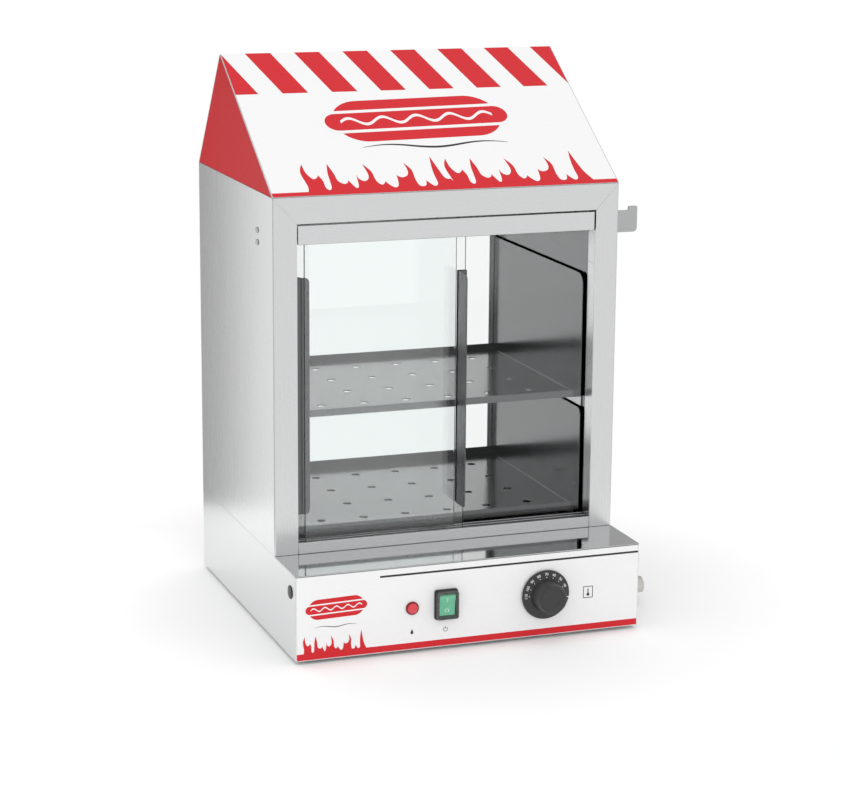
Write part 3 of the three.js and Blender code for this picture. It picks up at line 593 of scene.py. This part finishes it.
def bowed(start, leave, arrive, end, steps):
    """Points of a curve from start towards end, pulled by an offset at each end."""
    knots = [Vector((*start, 0)), Vector((start[0] + leave[0], start[1] + leave[1], 0)),
             Vector((end[0] + arrive[0], end[1] + arrive[1], 0)), Vector((*end, 0))]
    points = []
    for step in range(steps):
        t = step / steps
        weights = ((1 - t) ** 3, 3 * t * (1 - t) ** 2, 3 * t * t * (1 - t), t ** 3)
        points.append(tuple(sum((knot * weight for knot, weight in zip(knots, weights)), Vector()).xy))
    return points


# One set of five flames, in millimetres: each row runs smoothly from the last row's end to its own.
FLAME_SET = (
    ((0.6, 4), (-0.6, 13.5), (1.4, 19.6)),
    ((1.9, 13.5), (4.2, 8.9), (6.4, 9.6), (7.3, 11.3)),
    ((8.7, 7.5), (8.9, 2.6), (10.3, 0.7), (11.7, 2.4), (12.1, 8), (12.4, 13), (13.6, 19)),
    ((15.2, 12), (15.8, 7), (18.2, 4.6), (20.2, 5.3), (20.9, 7.1)),
    ((22.2, 3.8), (23.6, 1.3), (25, 3), (25.7, 10.5)),
    ((26.4, 7.6), (28.6, 5.9), (30.8, 7.4), (31.6, 11), (30.6, 18)),
    ((33.6, 12.5), (34.2, 6), (36.1, 3), (37.7, 3.7), (38.5, 5.2)),
    ((40.2, 2.4), (42.4, 0.6), (44.4, 2.6), (45.2, 9.4)),
    ((46.3, 7.9), (48.2, 7.5), (50.6, 9), (51.5, 12.5), (50.9, 17.6)),
    ((53.5, 12.5), (53.5, 6), (54.2, 1.6), (56.2, 0.6), (57.8, 1.7), (58.5, 4.7)),
    ((60.1, 2.2), (61.9, 0.5), (63.7, 2.2), (63.6, 8), (63.9, 14), (65.1, 21.6)),
    ((66.6, 13), (68.2, 6), (71, 0)),
)
FLAME_PITCH = 71
FLAME_VALLEY = 4.9


def flames(left, base, scale, sets):
    """The outline of a row of flame sets that stands on a band."""
    rows = []
    for number in range(sets):
        start = number * FLAME_PITCH
        rows += [[(u + start, v) for u, v in row] for row in FLAME_SET]
        if number < sets - 1:
            rows[-1][-1] = (start + FLAME_PITCH, FLAME_VALLEY)
    here = (0, 0)
    outline = []
    for row in rows:
        run = [here, here, *row, row[-1]]
        for before, start, end, after in zip(run, run[1:], run[2:], run[3:]):
            leave = ((end[0] - before[0]) / 6, (end[1] - before[1]) / 6)
            arrive = ((start[0] - after[0]) / 6, (start[1] - after[1]) / 6)
            outline += bowed(start, leave, arrive, end, steps=4)
        here = row[-1]
    outline.append(here)
    return [(left + u * scale / 1000, base + v * scale / 1000) for u, v in outline]


def box_outline(left, right, low, high):
    """The corners of a plain oblong."""
    return [(left, low), (right, low), (right, high), (left, high)]


HOOD_BAND_TOP = 0.0072
OVERLAP = 0.0001
hood_band = box_outline(FILM_MARGIN, WIDTH - FILM_MARGIN, FILM_MARGIN, HOOD_BAND_TOP)
ink("hood_band", [hood_band], front_slope, "red")
hood_fire = flames(left=0.042, base=HOOD_BAND_TOP - OVERLAP, scale=2.32, sets=2)
ink("hood_flames", [hood_fire], front_slope, "red")

DRAWING_TURN = 1.5


def hot_dog(name, where, length):
    """A plain drawing of a sausage in a bun, in red and white layers, with a wavy line of sauce."""
    share = length / 0.2
    crest, wave, half_line = 0.0052 * share, 0.17 * share, 0.0021 * share
    line = [(wave * (step / 90 - 0.5), crest * math.sin(step / 90 * 9 * math.pi)) for step in range(91)]
    for layer, (part, outline, colour) in enumerate((
        ("bun", capsule(0, 0, 0.186 * share, 0.066 * share), "red"),
        ("gap", capsule(0, 0, 0.212 * share, 0.036 * share), "white"),
        ("sausage", capsule(0, 0, 0.204 * share, 0.027 * share), "red"),
        ("sauce", [(u, v - half_line) for u, v in line] + [(u, v + half_line) for u, v in reversed(line)],
         "white"),
    ), start=1):
        ink(f"{name}_{part}", [outline], where, colour, layer, DRAWING_TURN)


def flourish(length):
    """The outline of a wavy pen stroke that swells in its middle."""
    spine = [(length * step / 60, 0.02 * length * math.sin(step / 20 * math.pi)) for step in range(61)]
    swell = [length * (0.0076 * math.sin(math.pi * step / 60) + 0.0018) for step in range(61)]
    return ([(u, v - wide) for (u, v), wide in zip(spine, swell)]
            + [(u, v + wide) for (u, v), wide in reversed(list(zip(spine, swell)))])


def spot_on(sheet, u, v):
    """A sheet's own axes, moved to a spot on it."""
    return sheet @ Matrix.Translation((u, v, 0))


hot_dog("hood_hot_dog", spot_on(front_slope, 0.198, 0.122), 0.212)
ink("hood_flourish", [flourish(0.17)], spot_on(front_slope, 0.122, 0.076), "black")


# ---- Ledge and front panel ----------------------------------------------------------------------
# The ledge in front of the doors is mirror-polished sheet with a rounded front edge. Below it the
# steel front panel carries a white printed film: a red band with flames, a black line and a drawing.
(_, PANEL_FRONT, PANEL_BOTTOM), (_, _, PANEL_TOP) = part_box("base_front_panel")
mirror_steel = grained("mirror_steel", (0.58, 0.584, 0.588), 0.07, (9, 500, 500), spread=0.02, relief=0.02)
ledge = block("ledge_sheet", *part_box("front_ledge"))
round_off(ledge, 0.0009, lambda middle, way: abs(way.x) > 0.99 and middle.y < PANEL_FRONT + 0.001)
dress(ease(ledge, 0.0002, 1), "cabinet", mirror_steel, "polished_steel", "front_ledge")
dress(eased_copy("base_front_panel", "front_panel_sheet"), "cabinet", level_steel, "satin_steel",
      "base_front_panel")

panel = Matrix.Translation((LEFT, PANEL_FRONT, 0)) @ Matrix.Rotation(math.radians(90), 4, "X")


def rod(sides, radius, length, middle, turn=(0, 0, 0)):
    """A plain rod, upright unless it is turned, to cut a hole with or to weld on."""
    bpy.ops.object.select_all(action="DESELECT")
    bpy.ops.mesh.primitive_cylinder_add(vertices=sides, radius=radius, depth=length, location=middle,
                                        rotation=turn)
    return settle(bpy.context.object)


panel_film = block("front_panel_film", (FILM_MARGIN, PANEL_BOTTOM + FILM_MARGIN, 0),
                   (WIDTH - FILM_MARGIN, PANEL_TOP, FILM))
for node, radius in (("thermostat_knob", 0.0052), ("indicator_lens", 0.0052), ("switch_rocker", 0.0105)):
    low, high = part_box(node)
    middle = (low + high) / 2
    combine(panel_film, rod(48, radius, 0.01, (middle.x - LEFT, middle.z, 0)))
dress(place(ease(panel_film, 0.00008, 1), panel), "cabinet", white_film, "white_paint")

PANEL_BAND_TOP = 0.0122
panel_band = box_outline(FILM_MARGIN, WIDTH - FILM_MARGIN, PANEL_BOTTOM + FILM_MARGIN, PANEL_BAND_TOP)
ink("panel_band", [panel_band], panel, "red")
panel_fire = flames(left=0.0085, base=PANEL_BAND_TOP - OVERLAP, scale=1, sets=1)
ink("panel_flames", [panel_fire], panel, "red")
ink("panel_line", [box_outline(0.0947, WIDTH - FILM_MARGIN, 0.0891, 0.0913)], panel, "black")
hot_dog("panel_hot_dog", spot_on(panel, 0.0455, 0.061), 0.068)
ink("panel_flourish", [flourish(0.047)], spot_on(panel, 0.0215, 0.0405), "black")

# Three plain signs: a drop under the lamp, a broken ring with a bar under the switch, and a
# thermometer in a thin square frame beside the dial.
under_lamp = spot_on(panel, 0.1315, 0.0235)
under_switch = spot_on(panel, 0.1704, 0.0235)
beside_dial = spot_on(panel, 0.339, 0.049)
ink("sign_drop", [arc(0, 0, 0.0017, -200, 20) + [(0, 0.0042)]], under_lamp, "black")
ink("sign_ring", [arc(0, 0, 0.0026, -240, 60) + arc(0, 0, 0.002, 60, -240)], under_switch, "black")
ink("sign_bar", [box_outline(-0.0003, 0.0003, 0.0004, 0.0033)], under_switch, "black")
ink("sign_frame", [box_outline(-0.0059, 0.0059, -0.0068, 0.0068),
                   box_outline(-0.0051, 0.0051, -0.006, 0.006)], beside_dial, "black")
ink("sign_thermometer", [box_outline(-0.0006, 0.0006, -0.003, 0.004)], beside_dial, "black")
ink("sign_bulb", [arc(0, -0.0027, 0.0018, 0, 345)], beside_dial, "black", layer=2)


# ---- Thermostat knob ----------------------------------------------------------------------------
# A moulded black knob pushed on the thermostat's spindle: a wide dial skirt with white numbers and an
# index line, and a tall hub with a rounded cap.
def turned(name, profile, centre, axis, steps):
    """A piece turned about an axis: its profile goes [radius, distance along the axis], in millimetres."""
    axis = Vector(axis)
    outwards = axis.orthogonal().normalized()
    spots = [Vector(centre) + outwards * radius / 1000 + axis * along / 1000 for radius, along in profile]
    bpy.ops.object.select_all(action="DESELECT")
    bpy.ops.mesh.primitive_plane_add(size=0.0001, location=spots[0])
    piece = bpy.context.object
    piece.name = name
    bpy.ops.object.mode_set(mode="EDIT")
    bpy.ops.mesh.merge(type="CENTER")
    for start, end in zip(spots, spots[1:]):
        bpy.ops.mesh.extrude_region_move(TRANSFORM_OT_translate={"value": end - start})
    bpy.ops.mesh.select_all(action="SELECT")
    bpy.ops.mesh.spin(steps=steps, angle=math.tau, center=centre, axis=axis)
    bpy.ops.object.mode_set(mode="OBJECT")
    return face_out(settle(piece))


black_plastic = grained("black_moulding", (0.028, 0.028, 0.03), 0.38, (900, 900, 900), spread=0.12,
                        relief=0.15, metallic=0.0)
knob_low, knob_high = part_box("thermostat_knob")
KNOB_CENTRE = Vector(((knob_low.x + knob_high.x) / 2, knob_high.y, (knob_low.z + knob_high.z) / 2))
knob = turned("dial_knob", [(0, 16), (3.3, 16), (3.3, 0), (27, 0), (28, 1), (28, 1.6), (27.4, 2.3),
                            (19.2, 3.6), (18.4, 4.4), (16.4, 22.4), (15.7, 24.2), (14.2, 25), (6.4, 25),
                            (6.1, 24.7), (5.4, 24.7), (5.1, 25), (0, 25)], KNOB_CENTRE, (0, -1, 0), 96)
dress(ease(knob, 0.0003, 2, 25), "knob", black_plastic, "black_plastic", "thermostat_knob")

white_ink = grained("white_ink", (0.85, 0.85, 0.85), 0.4, (400, 400, 400), metallic=0.0)
DIAL_RADIUS = 0.0236
DOT_RADIUS = 0.0203
DIGIT_HEIGHT = 0.0042
DIGIT_LIFT = 0.00295
DIGIT_RELIEF = 0.0002
NUMBER_STEP = 22.5
INDEX_ANGLE = -10
SKIRT_SLOPE = math.atan2(1.3, 8.0)


def on_dial(degrees):
    """The dial's own axes, turned so that their second one points at an angle from the dial's right."""
    return (Matrix.Translation(KNOB_CENTRE) @ Matrix.Rotation(math.radians(90), 4, "X")
            @ Matrix.Rotation(math.radians(degrees - 90), 4, "Z"))


for count, number in enumerate(range(110, 30, -10)):
    around = on_dial(180 - NUMBER_STEP * count)
    bpy.ops.object.select_all(action="DESELECT")
    bpy.ops.object.text_add()
    digits = bpy.context.object
    digits.name = f"dial_number_{number}"
    digits.data.body = str(number)
    digits.data.size = DIGIT_HEIGHT
    digits.data.align_x = "CENTER"
    digits.data.align_y = "CENTER"
    digits.data.extrude = DIGIT_RELIEF
    bpy.ops.object.convert(target="MESH")
    on_skirt = (around @ Matrix.Translation((0, DIAL_RADIUS, DIGIT_LIFT))
                @ Matrix.Rotation(-SKIRT_SLOPE, 4, "X"))
    dress(face_out(place(bpy.context.object, on_skirt)), "knob", white_ink, "white_plastic")
    dot = turned(f"dial_dot_{number}", [(0, 3), (0.5, 3), (0.5, 3.7), (0.3, 3.85), (0, 3.85)],
                 (0, DOT_RADIUS, 0), (0, 0, 1), 12)
    dress(place(dot, around), "knob", white_ink, "white_plastic")
index_line = block("dial_index", (-0.0005, 0.0225, 0.0016), (0.0005, 0.0278, 0.0032))
dress(ease(place(index_line, on_dial(INDEX_ANGLE)), 0.0001, 1), "knob", white_ink, "white_plastic")


# ---- Low-water lamp -----------------------------------------------------------------------------
# A neon lamp snapped into the panel: a red translucent lens with a low dome, held in a darker red rim
# that lies on the printed film.
lamp_low, lamp_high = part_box("indicator_bezel")
LAMP_CENTRE = Vector(((lamp_low.x + lamp_high.x) / 2, lamp_high.y, (lamp_low.z + lamp_high.z) / 2))
rim_red = grained("lamp_rim", (0.2, 0.012, 0.02), 0.25, (500, 500, 500), metallic=0.0)
lens_red = grained("lamp_lens", (0.7, 0.03, 0.055), 0.12, (500, 500, 500), metallic=0.0,
                   Subsurface_Weight=0.3, Subsurface_Scale=0.002, Coat_Weight=0.6)
rim = turned("lamp_rim", [(6.3, 0), (7.4, 0), (7.4, 1.5), (7.1, 2.2), (6.6, 2.4), (6.3, 2.1), (6.3, 0)],
             LAMP_CENTRE, (0, -1, 0), 48)
dress(ease(rim, 0.00015, 1, 25), "cabinet", rim_red, "red_plastic", "indicator_bezel")
dome = [(6 * math.cos(math.radians(angle)), 2.1 + 2.9 * math.sin(math.radians(angle)))
        for angle in range(0, 91, 10)]
lens = turned("lamp_lens", [(0, -16), (4.8, -16), (4.8, 0.4), (6, 0.4)] + dome, LAMP_CENTRE, (0, -1, 0), 48)
dress(ease(lens, 0.0001, 1, 50), "cabinet", lens_red, "red_plastic", "indicator_lens")


# ---- Power switch -------------------------------------------------------------------------------
# A lit rocker switch: a black snap-in housing with a raised collar, a green rocker marked with a line
# and a ring, and a clear splash cover over the collar.
switch_low, switch_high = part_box("switch_housing")
switch_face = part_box("indicator_bezel")[1].y
SWITCH = Vector(((switch_low.x + switch_high.x) / 2, switch_face, (switch_low.z + switch_high.z) / 2))


def upright_bar(name, half_wide, half_high, front, back, radius):
    """A bar square to the panel, with rounded corners, round the switch's middle. Sizes in millimetres."""
    low = SWITCH + Vector((-half_wide, front, -half_high)) / 1000
    high = SWITCH + Vector((half_wide, back, half_high)) / 1000
    bar = block(name, low, high)
    return round_off(bar, radius / 1000, lambda middle, way: abs(way.y) > 0.99)


housing = upright_bar("switch_shell", 13.5, 17, -2.4, 0, 3)
combine(housing, upright_bar("switch_collar", 12.5, 15.8, -7.5, -1.3, 2.5), "UNION")
combine(housing, upright_bar("switch_body", 10.9, 14.6, -0.8, 22, 0.8), "UNION")
combine(face_out(housing), face_out(upright_bar("switch_well", 10, 13.2, -9, 12, 1)))
dress(ease(face_out(housing), 0.0003, 2), "cabinet", black_plastic, "black_plastic", "switch_housing")

rocker_green = grained("rocker_green", (0.16, 0.62, 0.37), 0.18, (120, 120, 120), spread=0.12, relief=0.02,
                       metallic=0.0, Subsurface_Weight=0.3, Subsurface_Scale=0.002,
                       Emission_Color=(0.16, 0.62, 0.37, 1), Emission_Strength=0.22)
ROCKER_TILT = math.radians(8)
ROCKER_WIDE, ROCKER_HIGH = 0.0094, 0.0118
ROCKER_DEEP, ROCKER_PROUD = 0.007, 0.0048
DISH = 0.0011
HEEL = 0.005
rocker = block("rocker_button", (-ROCKER_WIDE, -ROCKER_HIGH, -ROCKER_DEEP),
               (ROCKER_WIDE, ROCKER_HIGH, ROCKER_PROUD))
bpy.ops.object.mode_set(mode="EDIT")
bpy.ops.mesh.select_all(action="SELECT")
bpy.ops.mesh.subdivide(number_cuts=11)
bpy.ops.object.mode_set(mode="OBJECT")
for vertex in rocker.data.vertices:
    share = abs(vertex.co.y) / ROCKER_HIGH
    if vertex.co.z > 0:
        vertex.co.z -= DISH * (1 - share ** 1.5) * vertex.co.z / ROCKER_PROUD
    else:
        vertex.co.z += HEEL * share ** 2 * -vertex.co.z / ROCKER_DEEP
on_rocker = (Matrix.Translation(SWITCH) @ Matrix.Rotation(ROCKER_TILT, 4, "X")
             @ Matrix.Rotation(math.radians(90), 4, "X"))
dress(ease(place(rocker, on_rocker), 0.0005, 2), "rocker", rocker_green, "green_plastic", "switch_rocker")
mark_white = grained("rocker_mark", (0.75, 0.95, 0.85), 0.3, (300, 300, 300), metallic=0.0,
                     Emission_Color=(0.75, 0.95, 0.85, 1), Emission_Strength=0.15)
line_mark = block("rocker_line", (-0.0006, 0.0036, 0.0034), (0.0006, 0.0092, 0.0044))
dress(ease(place(line_mark, on_rocker), 0.0001, 1), "rocker", mark_white, "green_plastic")
ring_place = on_rocker @ Vector((0, -0.0062, 0.0034))
ring_axis = on_rocker.to_3x3() @ Vector((0, 0, 1))
ring_mark = turned("rocker_ring", [(1.5, 0), (2.6, 0), (2.6, 0.9), (1.5, 0.9), (1.5, 0)],
                   ring_place, ring_axis, 32)
dress(ease(ring_mark, 0.0001, 1), "rocker", mark_white, "green_plastic")

clear_plastic = grained("clear_cover", (0.93, 0.96, 0.95), 0.05, (150, 150, 150), spread=0.02, relief=0.06,
                        metallic=0.0, Transmission_Weight=1.0, IOR=1.4)
cover = upright_bar("splash_cover", 12.3, 15.6, -9.3, -7.8, 2.4)
round_off(cover, 0.0011, lambda middle, way: middle.y < switch_face - 0.0088 and abs(way.y) < 0.01, 4)
dress(ease(cover, 0.0002, 1), "cabinet", clear_plastic, "clear_plastic", "switch_cover")


# ---- Trays --------------------------------------------------------------------------------------
# The bun box stands over the sausage tray. Each is one polished sheet folded up into two tall side
# walls, with low lips at front and back and a floor punched with rows of steam holes.
HOLE_RADIUS = 0.005
FIRST_HOLE = Vector((0.046, 0.045, 0))
HOLE_PITCH = (0.05, 0.06)


def tray(node, name, lip, corner):
    """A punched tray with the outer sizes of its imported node."""
    low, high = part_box(node)
    tray_path = [(low.x, high.z), (low.x, low.z), (high.x, low.z), (high.x, high.z)]
    piece = folded(name, [(x, low.y, z) for x, z in tray_path], (0, high.y - low.y, 0), (1, 0, 0))
    round_off(piece, corner, lambda middle, way: abs(way.x) > 0.99 and middle.z > high.z - 0.001
              and middle.y < low.y + 0.001)
    for y in (low.y, high.y - SHEET):
        lip_bar = block("lip", (low.x + SHEET / 2, y, low.z + SHEET / 2),
                        (high.x - SHEET / 2, y + SHEET, low.z + lip))
        combine(piece, lip_bar, "UNION")
    for column in range(6):
        for row in range(4):
            spot = low + FIRST_HOLE + Vector((HOLE_PITCH[0] * column, HOLE_PITCH[1] * row, 0))
            combine(piece, rod(24, HOLE_RADIUS, 0.006, spot))
    return ease(piece, 0.00025, 1)


tray_steel = grained("tray_steel", (0.2, 0.202, 0.205), 0.17, (14, 500, 500), spread=0.04, relief=0.03)
dress(tray("bun_box", "folded_bun_box", 0.008, 0.012), "cabinet", tray_steel, "polished_steel", "bun_box")
dress(tray("sausage_tray", "folded_sausage_tray", 0.01, 0.008), "cabinet", tray_steel, "polished_steel",
      "sausage_tray")


# ---- Feet, screws and the blanking plug ---------------------------------------------------------
# Four moulded rubber feet, four pan-head screws with cross recesses, and a domed plug that closes the
# spare hole low on the left side.
rubber = grained("foot_rubber", (0.02, 0.02, 0.021), 0.7, (700, 700, 700), spread=0.15, relief=0.3,
                 metallic=0.0)
for number in range(1, 5):
    low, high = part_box(f"foot_{number}")
    spot = Vector(((low.x + high.x) / 2, (low.y + high.y) / 2, 0))
    foot = turned(f"rubber_foot_{number}", [(0, 0.5), (3, 0.5), (3.4, 0), (10.6, 0), (12, 1.2),
                                            (11.6, 3.7), (0, 3.7)], spot, (0, 0, 1), 48)
    dress(ease(foot, 0.0003, 2, 25), "cabinet", rubber, "black_rubber", f"foot_{number}")

HEAD_HEIGHT = 0.0016
HEAD = [(0, -7), (1.8, -7), (1.8, 0), (3.4, 0), (3.4, 0.5), (3.1, 1.1), (2.3, 1.5), (1.2, 1.6), (0, 1.6)]
for side, out in (("hook", 1), ("side", -1)):
    for number in (1, 2):
        node = f"{side}_screw_{number}"
        low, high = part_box(node)
        face = high.x - HEAD_HEIGHT if out > 0 else low.x + HEAD_HEIGHT
        spot = Vector((face, (low.y + high.y) / 2, (low.z + high.z) / 2))
        screw = turned(f"{side}_pan_screw_{number}", HEAD, spot, (out, 0, 0), 32)
        for wide, high_reach in ((0.0004, 0.0017), (0.0017, 0.0004)):
            reach = Vector((0.0006, wide, high_reach))
            middle = spot + Vector((out * HEAD_HEIGHT, 0, 0))
            combine(screw, block("recess", middle - reach, middle + reach))
        dress(ease(screw, 0.0001, 1, 50), "cabinet", plain_steel, "satin_steel", node)

PLUG_PLAY = 0.0003
low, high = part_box("hole_plug")
spot = Vector((LEFT - PLUG_PLAY, (low.y + high.y) / 2, (low.z + high.z) / 2))
plug = turned("domed_plug", [(0, -5), (5.6, -5), (5.6, 0), (7.5, 0), (7.3, 0.6), (5.8, 1.1),
                             (3.4, 1.35), (0, 1.4)], spot, (-1, 0, 0), 48)
dress(ease(plug, 0.0002, 1, 25), "cabinet", black_plastic, "black_plastic", "hole_plug")


# ---- Utensil hook -------------------------------------------------------------------------------
# A 2 mm steel bracket held to the right wall by two screws. The tip of its arm is turned up to hold a
# pair of tongs.
hook_steel = grained("hook_steel", (0.5, 0.505, 0.51), 0.32, (9, 300, 500))
dress(eased_copy("hook_bracket", "tongs_hook", 0.0003), "cabinet", hook_steel, "satin_steel", "hook_bracket")


# ---- Drain cock and cable gland -----------------------------------------------------------------
# A nickel-plated brass ball valve screwed into the tank's side, with a dipped red lever. A nylon
# cable gland is in the back panel, with its ribbed bend guard.
nickel = grained("nickel_plating", (0.6, 0.58, 0.54), 0.22, (300, 60, 60), spread=0.05)
cock_low, cock_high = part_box("drain_cock_body")
lever_low, lever_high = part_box("drain_handle")
NUT_RADIUS = 0.012
DRAIN = Vector((RIGHT, (cock_low.y + cock_high.y) / 2, cock_low.z + NUT_RADIUS))
cock = turned("drain_ball_valve", [(5, -40), (6.9, -40), (6.9, 6.5), (9.4, 7.4), (10.5, 9.6),
                                   (10.5, 24), (9.4, 26.4), (6.9, 27.4), (6.9, 38), (9.5, 38.4),
                                   (9.5, 46.5), (5, 46.5), (5, -40)], DRAIN, (1, 0, 0), 64)
BORE = Vector((0.05, 0.003, 0.003))
for start, end, radius in ((-37.7, -32, 0.011), (0.3, 6, NUT_RADIUS)):
    nut = rod(6, radius, (end - start) / 1000, DRAIN + Vector(((start + end) / 2000, 0, 0)),
              (math.radians(30), math.radians(90), 0))
    combine(nut, block("nut_bore", DRAIN - BORE, DRAIN + BORE))
    combine(cock, nut, "UNION")
stem_foot = ((lever_low.x + lever_high.x) / 2, DRAIN.y, DRAIN.z)
valve_stem = turned("stem", [(0, 8), (4.5, 8), (4.5, 13), (0, 13)], stem_foot, (0, 0, 1), 32)
combine(cock, valve_stem, "UNION")
dress(ease(cock, 0.0003, 1, 35), "cabinet", nickel, "brass", "drain_cock_body")

red_dip = grained("dipped_red", (0.55, 0.02, 0.025), 0.35, (200, 200, 200), spread=0.06, relief=0.2,
                  metallic=0.0)
lever = block("drain_lever", lever_low, lever_high)
round_off(lever, 0.0052, lambda middle, way: abs(way.z) > 0.99, 8)
dress(ease(lever, 0.0014, 4), "drain_lever", red_dip, "red_grip", "drain_handle")

gland_low, gland_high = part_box("cable_gland")
GLAND = Vector(((gland_low.x + gland_high.x) / 2, BACK, (gland_low.z + gland_high.z) / 2))
guard = [(4.2, -8), (8, -8), (8, 0.3), (11, 0.3), (11, 6.5), (10.4, 7.5)]
for rib in range(4):
    start = 8.2 + 2.4 * rib
    wide = 9.4 - 0.6 * rib
    guard += [(wide - 1, start), (wide, start + 0.5), (wide - 0.1, start + 1.5), (wide - 1.1, start + 2)]
guard += [(6.6, 18), (4.2, 18), (4.2, -8)]
gland = turned("ribbed_gland", guard, GLAND, (0, 1, 0), 48)
dress(ease(gland, 0.00025, 1, 30), "cabinet", black_plastic, "black_plastic", "cable_gland")


# ---- Inside the base ----------------------------------------------------------------------------
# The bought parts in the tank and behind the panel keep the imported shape: the sheathed heater, the
# thermostat with its copper bulb, the float switch, the cut-out and the terminal block.
heater_sheath = grained("heater_sheath", (0.22, 0.21, 0.2), 0.4, (80, 80, 80), spread=0.15)
copper = grained("copper_bulb", (0.72, 0.38, 0.24), 0.3, (120, 120, 120), spread=0.08)
nylon = grained("white_nylon", (0.78, 0.78, 0.74), 0.45, (300, 300, 300), relief=0.08, metallic=0.0)
for node, material in (
    ("heating_element", heater_sheath), ("thermostat_bulb", copper), ("level_sensor_stem", nylon),
    ("level_float", nylon), ("thermostat_body", nylon), ("terminal_block", nylon),
    ("safety_cutout", black_plastic),
):
    nodes[node].data.materials.clear()
    nodes[node].data.materials.append(material)
